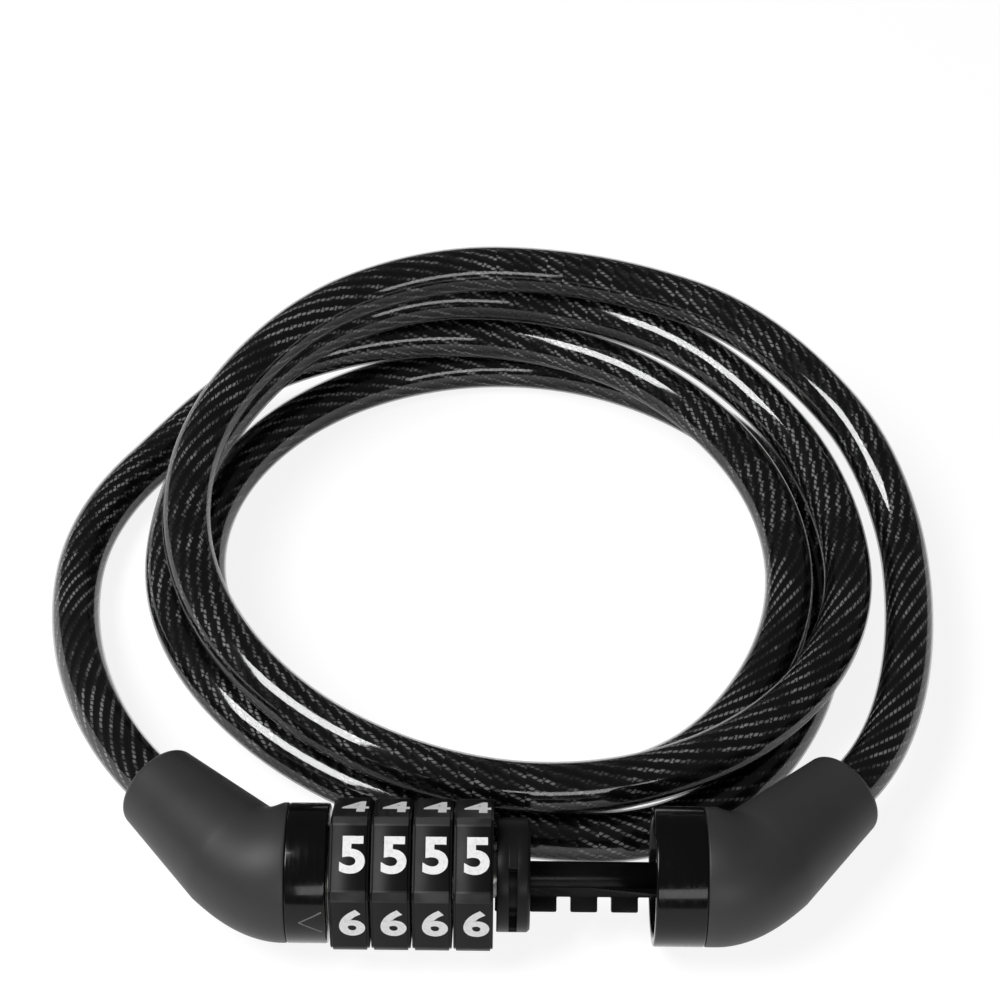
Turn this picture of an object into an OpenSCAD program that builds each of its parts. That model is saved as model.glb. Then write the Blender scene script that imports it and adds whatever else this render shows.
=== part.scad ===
// Combination cable lock: a head with four number dials, a notched pin in a plug, and a coiled cable.
// The lock's axis runs along X, Z is up, and the origin is under the middle of the head.
// Angles round the axis are counted from the front (-Y), upwards.

/* [Cable] */
// Diameter of the cable over its jacket
cable_d = 10; // [8:0.5:10.2]
// Diameter of the steel rope inside the jacket
rope_d = 7.2; // [5:0.2:7.6]
// Flat sides round the modelled jacket
jacket_sides = 10; // [8:2:12]
// Flat sides round the modelled rope
rope_sides = 8; // [6:2:10]

/* [Number dials] */
// Width of one dial along the axis
dial_w = 7.3; // [6.5:0.1:8.5]
// Play between neighbouring dials
dial_gap = 0.28; // [0.2:0.02:0.4]
// Distance from the axis to a dial's number face
dial_face_r = 12.7; // [12:0.1:14]
// Distance from the axis to a dial's bevelled corner
dial_corner_r = 14.2; // [13.9:0.05:14.6]
// Depth of the step along a dial's two rims
dial_step = 0.35; // [0.2:0.05:0.6]
// Width of that step along the axis
dial_step_w = 0.45; // [0.3:0.05:0.8]
// Height of the middle number face's normal above level, in degrees
dial_face_angle = 66; // [60:1:72]

/* [Code wheels] */
// Distance from the axis to a flat of a code wheel's hexagon
wheel_flat_r = 8.8; // [8.5:0.1:9.4]
// Width of the flange that blocks the pin's teeth
flange_w = 2; // [1.6:0.1:2.4]
// Radius of the room in which a tooth stands when the lock is shut
wheel_room_r = 7.05; // [7:0.05:7.6]
// Radius of the six click hollows in that room
click_r = 0.6; // [0.4:0.1:0.9]

/* [Head] */
// Width of the rear collar
collar_w = 7.6; // [6.6:0.2:9]
// Thickness of the washer between the collar and the first dial
washer_t = 0.4; // [0.3:0.1:0.6]
// Outer diameter of the core tube that carries the dials
core_d = 9.2; // [8.8:0.1:9.6]
// Diameter of the core's tail inside the elbow
tail_d = 15.6; // [15:0.2:16.4]
// Length of the core's tail
tail_l = 10.6; // [9:0.2:11]
// Outer diameter of the elbow's spigot under the collar
spigot_d = 20.2; // [19.4:0.2:21]
// Length of that spigot
spigot_l = 3.9; // [3.4:0.1:4.2]
// Diameter of the two pins that hold the tail in the spigot
tail_pin_d = 1.8; // [1.4:0.1:2]
// Length of those pins
tail_pin_l = 4.5; // [3.6:0.1:5.4]
// Thickness of the collar's front wall
collar_wall = 1.5; // [1.2:0.1:2]
// Outer diameter of the nose sleeve
nose_d = 21.2; // [20.8:0.2:21.8]
// Length of the nose sleeve
nose_w = 6.2; // [5.8:0.1:7]
// Width of the window in the nose sleeve
window_w = 1.5; // [1.3:0.1:1.8]
// Distance from the nose's end to the window
window_inset = 2.4; // [2:0.1:3]
// Outer diameter of the retaining clip
clip_d = 13.2; // [12.4:0.2:14]
// Thickness of the retaining clip
clip_t = 1.1; // [0.8:0.1:1.2]
// Depth of the clip's groove in the core
clip_groove = 0.6; // [0.4:0.1:0.8]

/* [Detent strip] */
// Width of the leaf strip that clicks in the code wheels
strip_w = 2.6; // [2:0.1:3]
// Thickness of that strip
strip_t = 0.4; // [0.3:0.05:0.5]
// Length of each hump at its foot
hump_l = 4; // [3.6:0.1:4.6]

/* [Plug] */
// Diameter of the lock pin
pin_d = 5.2; // [4.6:0.1:5.4]
// Thickness of the fin that carries the pin's teeth
fin_t = 2.4; // [1.8:0.1:2.8]
// Distance from the axis to the fin's edge between its teeth
web_r = 4; // [3.6:0.1:4.2]
// Distance from the axis to the tips of the teeth
tooth_r = 6.8; // [6:0.1:6.9]
// Angle of the fin round the axis, in degrees
fin_angle = -36; // [-40:1:-30]
// How far the plug's cup stands open from the nose
open_gap = 22.9; // [20:0.1:26]
// Width of the cup ring
cup_w = 9.6; // [9.2:0.1:11]
// Thickness of the cup ring's wall round the nose; the collar and the elbows are as wide as the cup
cup_wall = 1.7; // [1.5:0.1:2.4]
// Thickness of the bush's head inside the cup
bush_head_w = 1.5; // [1.2:0.1:1.8]
// Diameter of the bush's head
bush_head_d = 19; // [17:0.5:20]
// Diameter of the bush's shank in the elbow
bush_d = 13.8; // [12:0.2:14.4]
// Length of the bush's shank past the cup's floor
bush_l = 9; // [7:0.2:9.6]
// Diameter of the rivet through the bush and the pin
rivet_d = 1.6; // [1.2:0.1:2]

/* [Elbows] */
// Straight length of the left elbow, from the collar to its bend
left_straight = 6.6; // [6:0.1:8]
// Straight length of the right elbow, from the cup ring to its bend
right_straight = 7.9; // [6.6:0.1:9]
// Length of an elbow's arm, from its bend to its mouth
arm_l = 29; // [26:0.5:34]
// Diameter of the arm at its mouth
mouth_d = 17.4; // [16.6:0.2:19]
// Diameter of the arm where the bend ends
arm_root_d = 22.4; // [21:0.2:23.6]
// Radius of the mouth's rounded edge
mouth_round = 1.6; // [1:0.1:2.2]
// Distance along the arm from the bend to where its taper starts
arm_start = 3.6; // [3:0.1:4.4]
// Diameter of the ferrule on the rope's end
ferrule_d = 12; // [11:0.2:12.4]
// Length of the ferrule
ferrule_l = 11.6; // [9:0.2:13]
// Distance along the arm from the bend to the ferrule
ferrule_start = 5.4; // [5:0.1:6.4]

/* [Clearances] */
// Running clearance of a bore round a shaft
run_clear = 0.1; // [0.05:0.01:0.12]
// Clearance between the fin and the slots that it slides in, each side
slot_clear = 0.25; // [0.15:0.05:0.35]
// Gap that is left between the nose and the cup when the lock is shut
shut_gap = 0.3; // [0.2:0.05:0.4]
// Clearance between the cable and the bore of the elbow's arm
cable_clear = 0.25; // [0.15:0.05:0.3]
// Clearance between the cup's bore and the nose sleeve
cup_clear = 0.7; // [0.5:0.1:0.8]
// Clearance of a pin or a shank in the hole that it is fixed in
seat_clear = 0.03; // [0.02:0.01:0.05]
// Clearance between the humps and the code wheels
hump_clear = 0.1; // [0.05:0.05:0.2]

/* [Hidden] */

$fn = 64;
eps = 0.02;
dials = 4;
faces = 6;
// How far an elbow's middle disc stands out of its corner, and the thickness of such a disc
bend_out = 0.35;
disc_t = 0.2;
// How far the bush's bore runs past the right bend
bush_room = 1.5;
// How far the pin's bore runs past the first dial, and how much later the fin's slot starts
bore_room = 1.5;
slot_start = 0.6;
// Length of the chamfer round the nose's end
nose_chamfer = 0.5;
// The angles between which the nose's window is open: from the upper front to the lower front
window_from = 60;
window_to = -30;
// Room round the clip in the nose, the clip's play in its groove, and half the angle of its opening
clip_room = 0.3;
clip_play = 0.05;
clip_half_open = 36;
// How far the detent strip stops short of the dial stack's ends, and the groove's play round it
strip_margin = 0.3;
strip_play = 0.1;
// The pin's tip: its cone's length, and how far it reaches past the first tooth
tip_l = 0.8;
tip_reach = 0.6;
// Thickness of the ferrule's floor
ferrule_floor = 1.5;
// The index mark: its angle, the places of its tip and its back from the collar's edge, half its
// height, and its lines' width and depth
mark_angle = 9;
mark_tip = 4.9;
mark_back = 0.7;
mark_half = 2.5;
mark_line = 0.35;
mark_depth = 0.4;

// Places along the axis, one after another from the left bend to the right bend
dial_pitch = dial_w + dial_gap;
washer_room = washer_t + 2 * run_clear;
stack_w = dials * dial_pitch;
bend_span = left_straight + collar_w + washer_room + stack_w + shut_gap + nose_w + open_gap
          + cup_w + right_straight;
left_bend_x = -bend_span / 2;
shoulder_x = left_bend_x + left_straight;
washer_x = shoulder_x + collar_w + run_clear;
dial_x0 = shoulder_x + collar_w + washer_room;
nose_x = dial_x0 + stack_w + shut_gap;
nose_end_x = nose_x + nose_w;
cup_x = nose_end_x + open_gap;
cup_end_x = cup_x + cup_w;
right_bend_x = bend_span / 2;

// How far the plug slides in to shut the lock
travel = cup_x - nose_x;

cup_bore_r = nose_d / 2 + cup_clear;
head_r = cup_bore_r + cup_wall;
// The dials stand on the bevel of their lowest corner, which is turned from straight down
low_corner_angle = dial_face_angle - 150;
bevel_half = (dial_face_r / cos(30) - dial_corner_r) * tan(60);
axis_z = dial_corner_r * cos(90 + low_corner_angle) + bevel_half * sin(abs(90 + low_corner_angle));

// The arms leave the bend at half a right angle, towards the back
arm_angle = 45;
mouth_edge = (arm_l - mouth_round) + (mouth_d / 2 - mouth_round);
back_reach = mouth_edge * cos(arm_angle) + mouth_round;
axis_y = -(back_reach - head_r) / 2;

core_r = core_d / 2;
core_bore_r = pin_d / 2 + run_clear;
slot_w = fin_t + 2 * slot_clear;
window_l = dial_w - flange_w;
tooth_w = window_l - shut_gap;
cup_floor_x = cup_x + nose_w + shut_gap + bush_head_w;
tail_pin_foot_r = spigot_d / 2 - tail_pin_l;
core_tail_x = shoulder_x + collar_w - collar_wall - run_clear - tail_l;
core_bore_x = dial_x0 - bore_room;
clip_x = nose_end_x - window_inset - window_w;

function dial_x(i) = dial_x0 + i * dial_pitch;
function round_axis(r, angle) = [-r * cos(angle), r * sin(angle)];
function mix(a, b, u) = a + (b - a) * u;

// ---- Helpers ----

// Moves what is drawn round the X axis to the lock's own axis
module on_axis() {
    translate([0, axis_y, axis_z]) children();
}

// A round bar along the axis
module bar(x0, x1, r) {
    translate([x0, 0, 0]) rotate([0, 90, 0]) cylinder(h = x1 - x0, r = r);
}

// A ring along the axis
module ring(x0, x1, r_out, r_in) {
    difference() {
        bar(x0, x1, r_out);
        bar(x0 - 1, x1 + 1, r_in);
    }
}

// Turns what points along +Y to an angle round the axis
module at_angle(angle) {
    rotate([180 - angle, 0, 0]) children();
}

// Extrudes an outline drawn in the plane across the axis
module across(x0, x1) {
    translate([x0, 0, 0]) rotate([90, 0, 90]) linear_extrude(x1 - x0) children();
}

// A slot of the fin's width, out from the axis
module fin_slot(x0, x1, r) {
    at_angle(fin_angle) translate([x0, 0, -slot_w / 2]) cube([x1 - x0, r, slot_w]);
}

// Hexagon with a face normal at the angle; its corners are cut off at corner_r
module bevelled_hexagon(face_r, corner_r, angle) {
    half = (face_r / cos(30) - corner_r) * tan(60);
    polygon([for (k = [0 : faces - 1], side = [-1, 1])
        let (corner = angle + 30 + 60 * k)
        round_axis(corner_r, corner) + side * round_axis(half, corner + 90)]);
}

module plain_hexagon(flat_r, angle) {
    polygon([for (k = [0 : faces - 1]) round_axis(flat_r / cos(30), angle + 30 + 60 * k)]);
}

// ---- Elbows ----

// A thin disc across a path that has turned by an angle; side is -1 on the left and 1 on the right
module bend_disc(side, back, r, turned) {
    translate([side * back * cos(turned), back * sin(turned), 0])
        rotate([0, 90, side > 0 ? turned : 180 - turned])
            cylinder(h = disc_t, r = r, center = true, $fn = 32);
}

// Turns Z along an arm, from the bend at the origin
module along_arm(side) {
    rotate([0, 90, side > 0 ? arm_angle : 180 - arm_angle]) children();
}

// A tapering arm with a rounded mouth
module arm_body() {
    slope = (arm_root_d - mouth_d) / 2 / (arm_l - arm_start);
    rotate_extrude() polygon([
        [0, arm_start], [arm_root_d / 2, arm_start],
        [mouth_d / 2 + slope * mouth_round, arm_l - mouth_round],
        for (a = [15 : 15 : 90])
            [mouth_d / 2 - mouth_round * (1 - cos(a)), arm_l - mouth_round * (1 - sin(a))],
        [0, arm_l]]);
}

module elbow_body(side, straight) {
    middle_r = (head_r + arm_root_d / 2) / 2;
    bar(side > 0 ? -straight : arm_start - eps, side > 0 ? eps - arm_start : straight, head_r);
    hull() {
        bend_disc(side, -arm_start, head_r, 0);
        bend_disc(side, bend_out, middle_r, arm_angle / 2);
    }
    hull() {
        bend_disc(side, bend_out, middle_r, arm_angle / 2);
        bend_disc(side, arm_start, arm_root_d / 2, arm_angle);
    }
    along_arm(side) arm_body();
}

// The room for the ferrule and the way out for the cable
module arm_bore(side) {
    along_arm(side) {
        cylinder(h = ferrule_start + ferrule_l + run_clear, r = ferrule_d / 2 + run_clear);
        cylinder(h = arm_l + 1, r = cable_d / 2 + cable_clear);
    }
}

module left_elbow() {
    color([0.16, 0.16, 0.17]) on_axis() translate([left_bend_x, 0, 0]) difference() {
        union() {
            elbow_body(-1, left_straight);
            bar(left_straight - 1, left_straight + spigot_l, spigot_d / 2);
        }
        arm_bore(-1);
        bar(0, left_straight + spigot_l + 1, tail_d / 2 + run_clear);
        translate([-left_bend_x, 0, 0]) tail_pin_bars(spigot_d / 2 + 1);
    }
}

module right_elbow() {
    color([0.16, 0.16, 0.17]) on_axis() translate([right_bend_x, 0, 0]) difference() {
        elbow_body(1, right_straight);
        arm_bore(1);
        bar(-right_straight - 1, bush_room, bush_d / 2 + run_clear);
    }
}

// ---- Rear collar and core ----

module rear_collar() {
    inner_x = shoulder_x + collar_w - collar_wall;
    color([0.05, 0.05, 0.055]) on_axis() difference() {
        bar(shoulder_x + eps, shoulder_x + collar_w, head_r);
        bar(shoulder_x - 1, inner_x, spigot_d / 2 + run_clear);
        bar(inner_x - 1, shoulder_x + collar_w + 1, core_r + run_clear);
        index_mark();
    }
}

// A shallow triangular mark, open towards the dials, level with the set numbers
module index_mark() {
    for (side = [-1, 1]) at_angle(mark_angle)
        translate([shoulder_x + collar_w, head_r - mark_depth, 0]) rotate([-90, 0, 0])
            linear_extrude(head_r)
                polygon([[-mark_tip, 0], [-mark_back, side * mark_half],
                         [mark_line - mark_back, side * mark_half], [2 * mark_line - mark_tip, 0]]);
    at_angle(mark_angle)
        translate([shoulder_x + collar_w - mark_back, head_r - mark_depth, -mark_half])
            cube([mark_line, head_r, 2 * mark_half]);
}

module lock_core() {
    tail_end_x = core_tail_x + tail_l;
    color([0.55, 0.56, 0.58]) on_axis() difference() {
        union() {
            bar(core_tail_x, tail_end_x, tail_d / 2);
            bar(tail_end_x - 1, nose_end_x, core_r);
        }
        bar(core_bore_x, nose_end_x + 1, core_bore_r);
        fin_slot(core_bore_x + slot_start, nose_end_x + 1, core_r + 1);
        strip_groove();
        ring(clip_x, clip_x + window_w, core_r + 1, core_r - clip_groove);
        tail_pin_bars(tail_d / 2 + 1);
    }
}

// Two bars above and below the axis, where the pins hold the tail in the spigot
module tail_pin_bars(r_out) {
    foot_r = tail_pin_foot_r - run_clear;
    for (side = [-1, 1]) translate([shoulder_x + spigot_l / 2, 0, side * (r_out + foot_r) / 2])
        cylinder(h = r_out - foot_r, d = tail_pin_d + run_clear, center = true);
}

module tail_pins() {
    color([0.7, 0.7, 0.72]) on_axis() for (side = [-1, 1])
        translate([shoulder_x + spigot_l / 2, 0, side * (tail_pin_foot_r + tail_pin_l / 2)])
            cylinder(h = tail_pin_l, d = tail_pin_d, center = true);
}

module thrust_washer() {
    color([0.75, 0.75, 0.77]) on_axis()
        ring(washer_x, washer_x + washer_t, wheel_flat_r, core_r + run_clear);
}

// ---- Detent strip ----

strip_r = core_bore_r + 1;
strip_x0 = dial_x0 + strip_margin;
strip_x1 = nose_x - shut_gap - strip_margin;

module strip_groove() {
    width = strip_w + 2 * strip_play;
    at_angle(fin_angle + 180)
        translate([strip_x0 - strip_margin, strip_r - strip_play / 2, -width / 2])
            cube([strip_x1 - strip_x0 + 2 * strip_margin, core_r, width]);
}

// A bent leaf with one hump in the room of each code wheel
module detent_strip() {
    hump_r = wheel_room_r - hump_clear;
    top_r = strip_r + strip_t;
    foot = hump_l / 2;
    crest = hump_l / 8;
    leg_w = strip_t * 1.1;
    middles = [for (i = [0 : dials - 1]) dial_x(i) + window_l / 2];
    outer = [for (m = middles)
        each [[m - foot, top_r], [m - crest, hump_r], [m + crest, hump_r], [m + foot, top_r]]];
    inner = [for (i = [dials - 1 : -1 : 0]) let (m = middles[i])
        each [[m + foot - leg_w, strip_r], [m + crest - leg_w, hump_r - strip_t],
              [m - crest + leg_w, hump_r - strip_t], [m - foot + leg_w, strip_r]]];
    color([0.8, 0.78, 0.7]) on_axis() at_angle(fin_angle + 180)
        translate([0, 0, -strip_w / 2]) linear_extrude(strip_w)
            polygon(concat([[strip_x0, strip_r], [strip_x0, top_r]], outer,
                           [[strip_x1, top_r], [strip_x1, strip_r]], inner));
}

// ---- Dials ----

module number_dial(i) {
    x0 = dial_x(i);
    x1 = x0 + dial_w;
    color([0.1, 0.1, 0.11]) on_axis() difference() {
        union() {
            across(x0 + dial_step_w, x1 - dial_step_w)
                bevelled_hexagon(dial_face_r, dial_corner_r, dial_face_angle);
            across(x0, x1)
                bevelled_hexagon(dial_face_r - dial_step, dial_corner_r - dial_step, dial_face_angle);
        }
        across(x0 - 1, x1 + 1) plain_hexagon(wheel_flat_r + run_clear, dial_face_angle);
    }
}

module code_wheel(i) {
    x0 = dial_x(i);
    x1 = x0 + dial_w;
    color([0.72, 0.6, 0.3]) on_axis() difference() {
        across(x0 + eps, x1 - eps) plain_hexagon(wheel_flat_r, dial_face_angle);
        bar(x0 - 1, x1 - flange_w, wheel_room_r);
        bar(x0, x1 + 1, core_r + run_clear);
        fin_slot(x0, x1 + 1, wheel_room_r);
        for (k = [0 : faces - 1]) at_angle(fin_angle + 180 + 60 * k)
            translate([0, wheel_room_r, 0]) bar(x0 - 1, x1 - flange_w, click_r);
    }
}

// ---- Nose ----

module nose_sleeve() {
    color([0.09, 0.09, 0.1]) on_axis() difference() {
        union() {
            bar(nose_x, nose_end_x - nose_chamfer, nose_d / 2);
            translate([nose_end_x - nose_chamfer - eps, 0, 0]) rotate([0, 90, 0])
                cylinder(h = nose_chamfer + eps, r1 = nose_d / 2, r2 = nose_d / 2 - nose_chamfer);
        }
        bar(nose_x - 1, nose_end_x + 1, core_r + eps);
        bar(clip_x, clip_x + window_w, clip_d / 2 + clip_room);
        fin_slot(nose_x - 1, nose_end_x + 1, tooth_r + slot_clear);
        nose_window();
    }
}

// The window over the clip, as a sector
module nose_window() {
    across(clip_x, clip_x + window_w)
        polygon([[0, 0], for (k = [0 : 5]) round_axis(nose_d, mix(window_from, window_to, k / 5))]);
}

// A spring ring in the core's groove, open where the fin passes
module retaining_clip() {
    color([0.6, 0.6, 0.62]) on_axis() difference() {
        ring(clip_x + (window_w - clip_t) / 2, clip_x + (window_w + clip_t) / 2, clip_d / 2,
             core_r - clip_groove + clip_play);
        across(clip_x - 1, clip_x + window_w + 1)
            polygon([[0, 0], for (k = [-1 : 1]) round_axis(clip_d, fin_angle + k * clip_half_open)]);
    }
}

// ---- Plug ----

// The first tooth is cut short, so that it stands clear of the last code wheel when the lock is open
module lock_pin() {
    first_x = nose_x - shut_gap;
    web_end_x = cup_floor_x - bush_head_w - run_clear;
    tip_x = first_x - tip_reach;
    color([0.13, 0.13, 0.14]) on_axis() {
        translate([tip_x, 0, 0]) rotate([0, 90, 0])
            cylinder(h = tip_l, r1 = pin_d / 2 - tip_l, r2 = pin_d / 2);
        difference() {
            bar(tip_x + tip_l - eps, cup_floor_x + bush_l - 1, pin_d / 2);
            rivet_bar(pin_d, rivet_d / 2 + seat_clear);
        }
        at_angle(fin_angle) translate([0, 0, -fin_t / 2]) linear_extrude(fin_t) {
            translate([first_x, 0]) square([web_end_x - first_x, web_r]);
            for (i = [0 : dials - 1]) {
                left_x = max(first_x, dial_x(i) + travel + (window_l - tooth_w) / 2);
                right_x = dial_x(i) + travel + (window_l + tooth_w) / 2;
                translate([left_x, 0]) square([right_x - left_x, tooth_r]);
            }
        }
    }
}

module cup_ring() {
    color([0.05, 0.05, 0.055]) on_axis() difference() {
        bar(cup_x, cup_end_x - eps, head_r);
        bar(cup_x - 1, cup_floor_x, cup_bore_r);
        bar(cup_x, cup_end_x + 1, bush_d / 2 + run_clear);
    }
}

module plug_bush() {
    color([0.6, 0.61, 0.63]) on_axis() difference() {
        union() {
            bar(cup_floor_x - bush_head_w, cup_floor_x - eps, bush_head_d / 2);
            bar(cup_floor_x - 1, cup_floor_x + bush_l, bush_d / 2);
        }
        bar(cup_x, cup_floor_x + bush_l + 1, pin_d / 2 + seat_clear);
        rivet_bar(bush_d / 2 + 1, rivet_d / 2 + seat_clear);
    }
}

module rivet_bar(half_l, r) {
    translate([cup_floor_x + bush_l / 2, 0, -half_l]) cylinder(h = 2 * half_l, r = r);
}

module pin_rivet() {
    color([0.75, 0.75, 0.77]) on_axis() rivet_bar(bush_d / 2 - 0.1, rivet_d / 2);
}

// ---- Ferrules ----

module ferrule(side, bend_x) {
    color([0.78, 0.78, 0.8]) on_axis() translate([bend_x, 0, 0]) along_arm(side)
        translate([0, 0, ferrule_start]) difference() {
            cylinder(h = ferrule_l, r = ferrule_d / 2);
            translate([0, 0, ferrule_floor]) cylinder(h = ferrule_l, r = rope_d / 2 + run_clear);
        }
}

// ---- Cable ----

// The coil is one closed ring of the turns' outer shape. Each list holds a section's eight corners,
// counted from the outer foot over the top to the inner foot, as pairs: the place in plan (x at the
// left and right, y at the back and front) and the height. Behind the line through the left and right
// sections the cable's last turn lies outside the others, and in front of it there is no last turn, so
// the ring's section steps in there: each front section lies inside the back one that it meets.
left_back_section = [[-93, 0], [-95.5, 4], [-94, 11], [-77, 20],
                     [-71, 31.5], [-61, 31.5], [-59, 26], [-59, 0]];
back_section = [[150, 0], [152, 5], [151.5, 27], [150, 41],
                [147, 43], [141, 43], [138.5, 39], [140, 0]];
right_back_section = [[76, 0], [79, 9], [88.4, 11.4], [90.3, 17],
                      [88, 22.5], [70, 21.5], [56, 19], [55, 0]];
right_front_section = [[71.6, 0.3], [73, 7.6], [77.2, 12], [77.2, 17],
                       [74, 21.3], [68, 20.9], [56.4, 18.8], [55.4, 0.3]];
front_section = [[7, 0.3], [4.7, 4], [6.8, 11], [9.5, 19.5],
                 [12, 20.8], [16.5, 20.8], [26.5, 9.5], [27, 0.3]];
left_front_section = [[-69.5, 0.3], [-73, 5], [-75, 12], [-75, 20],
                      [-70.8, 31.2], [-61.4, 31.2], [-59.4, 25.8], [-59.4, 0.3]];
// Y of the left and right sections, X of the back one, and X of each corner of the front one
side_y = 76;
back_x = -5;
front_x = [19, 19, 19, 16, 13, 10, 10, 10];
section_corners = 8;
// Sections along each quarter of the ring
steps = 8;
// Height of the coil's underside over the surface
lift = 0.02;

// A quarter of an ellipse for each corner, in plan; it leaves p along Y or along X
function corner_on_leg(p, q, along_y, u) =
    let (c = cos(90 * u), s = sin(90 * u), eased = (1 - cos(180 * u)) / 2)
    [along_y ? mix(q[0], p[0], c) : mix(p[0], q[0], s),
     along_y ? mix(p[1], q[1], s) : mix(q[1], p[1], c),
     lift + mix(p[2], q[2], eased)];

function at_side(section) = [for (c = section) [c[0], side_y, c[1]]];
function at_back(section) = [for (c = section) [back_x, c[0], c[1]]];
function at_front(section) =
    [for (k = [0 : section_corners - 1]) [front_x[k], section[k][0], section[k][1]]];

function leg(from, to, along_y, first) = [for (k = [first : steps])
    [for (c = [section_corners - 1 : -1 : 0]) corner_on_leg(from[c], to[c], along_y, k / steps)]];

coil_rings = concat(leg(at_side(left_back_section), at_back(back_section), true, 0),
                    leg(at_back(back_section), at_side(right_back_section), false, 1),
                    leg(at_side(right_front_section), at_front(front_section), true, 0),
                    leg(at_front(front_section), at_side(left_front_section), false, 1));

// Two triangles for each side between neighbouring rings that start at corner number first
function skin(first, rings, sides, inward) = [for (i = [0 : rings - 2], k = [0 : sides - 1])
    let (a = first + i * sides + k, b = first + i * sides + (k + 1) % sides,
         c = a + sides, d = b + sides)
    each inward ? [[a, b, d], [a, d, c]] : [[a, d, b], [a, c, d]]];

// A closed solid through rings of corners
module through_rings(rings, sides) {
    last = (len(rings) - 1) * sides;
    polyhedron([for (r = rings) each r], concat(skin(0, len(rings), sides, true),
        [for (k = [1 : sides - 2]) [0, k + 1, k]],
        [for (k = [1 : sides - 2]) [last, last + k, last + k + 1]]));
}

// The coil's ring: its last section is joined to its first
module cable_jacket() {
    count = len(coil_rings) * section_corners;
    color([0.2, 0.2, 0.21]) polyhedron(
        [for (r = coil_rings) each r],
        [for (f = skin(0, len(coil_rings) + 1, section_corners, true)) [for (v = f) v % count]]);
}

// The leads run from the elbows' mouths to these points of the back half's faces
left_end = [-90, side_y, 6];
right_end = [84.5, side_y, 17];

// A cubic curve through two ends, pulled along its two handles
function cubic(p, ph, qh, q, u) =
    pow(1 - u, 3) * p + 3 * pow(1 - u, 2) * u * ph + 3 * (1 - u) * u * u * qh + u * u * u * q;

function arm_point(side, bend_x, t) =
    [bend_x + side * t * cos(arm_angle), axis_y + t * sin(arm_angle), axis_z];

// Rings along a lead, and how far its handles reach out of the mouth and back from the coil
lead_steps = 10;
lead_pull = 20;

// A lead's middle line: straight in the arm, then a curve that meets the coil square on
function lead(side, bend_x, from, end) =
    let (p = arm_point(side, bend_x, arm_l), ph = arm_point(side, bend_x, arm_l + lead_pull))
    concat([for (k = [0 : 2]) arm_point(side, bend_x, mix(from, arm_l, k / 3))],
           [for (k = [0 : lead_steps])
               cubic(p, ph, end - [0, lead_pull, 0], end - [0, eps, 0], k / lead_steps)]);

jacket_start = ferrule_start + ferrule_l + 2 * run_clear;
rope_start = ferrule_start + ferrule_floor + run_clear;
// The jacket's bore clears the rope's corners at the middle of its flat sides too
jacket_bore_r = (rope_d / 2 + 2 * run_clear) / cos(180 / jacket_sides);

function unit(v) = v / norm(v);
function heading(path, i) = unit(path[min(i + 1, len(path) - 1)] - path[max(i - 1, 0)]);

// One ring of corners round a point of a path; the last stands square to Y, against the coil's face
function path_ring(path, i, r, sides) =
    let (t = i == len(path) - 1 ? [0, 1, 0] : heading(path, i), s = unit([t[1], -t[0], 0]),
         up = cross(s, t))
    [for (k = [0 : sides - 1]) let (a = 360 * k / sides + 90)
        path[i] + r * (cos(a) * s + sin(a) * up)];

function rings(path, r, sides) = [for (i = [0 : len(path) - 1]) path_ring(path, i, r, sides)];

// A hollow tube along a path: an outer skin, an inner skin and two end rings
module swept_pipe(path, r_out, r_in) {
    sides = jacket_sides;
    inner = len(path) * sides;
    last = (len(path) - 1) * sides;
    points = [for (r = concat(rings(path, r_out, sides), rings(path, r_in, sides))) each r];
    polyhedron(points, concat(skin(0, len(path), sides, true), skin(inner, len(path), sides, false),
        [for (k = [0 : sides - 1]) let (n = (k + 1) % sides)
            each [[k, inner + k, inner + n], [k, inner + n, n]]],
        [for (k = [0 : sides - 1]) let (n = (k + 1) % sides, a = last + k, b = last + n)
            each [[a, inner + b, inner + a], [a, b, inner + b]]]));
}

module left_lead() {
    color([0.2, 0.2, 0.21])
        swept_pipe(lead(-1, left_bend_x, jacket_start, left_end), cable_d / 2, jacket_bore_r);
}

module right_lead() {
    color([0.2, 0.2, 0.21])
        swept_pipe(lead(1, right_bend_x, jacket_start, right_end), cable_d / 2, jacket_bore_r);
}

module rope_end(side, bend_x, end) {
    through_rings(rings(lead(side, bend_x, rope_start, end), rope_d / 2, rope_sides), rope_sides);
}

// The rope's two ends, from the ferrules to the coil, which stands for the rope's turns too
module steel_rope() {
    color([0.5, 0.5, 0.52]) {
        rope_end(-1, left_bend_x, left_end);
        rope_end(1, right_bend_x, right_end);
    }
}

echo("travel of the plug", travel, "axis", axis_y, axis_z, "bend", left_bend_x);

left_elbow();
rear_collar();
lock_core();
tail_pins();
thrust_washer();
detent_strip();
nose_sleeve();
retaining_clip();
ferrule(-1, left_bend_x);  // left_ferrule
number_dial(0);  // number_dial_1
number_dial(1);  // number_dial_2
number_dial(2);  // number_dial_3
number_dial(3);  // number_dial_4
code_wheel(0);  // code_wheel_1
code_wheel(1);  // code_wheel_2
code_wheel(2);  // code_wheel_3
code_wheel(3);  // code_wheel_4
lock_pin();
cup_ring();
plug_bush();
pin_rivet();
right_elbow();
ferrule(1, right_bend_x);  // right_ferrule
left_lead();
right_lead();
cable_jacket();
steel_rope();
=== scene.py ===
# %% [markdown]
# # A combination cable lock
#
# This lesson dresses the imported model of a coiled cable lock. The lock head lies in front, its axis
# along X; four hexagonal number dials turn on it, and a notched pin on the plug slides out of its nose.
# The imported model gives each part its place, and every new surface here is built in the same frame.

import math

import bpy
import numpy as np
from mathutils import Matrix


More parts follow.
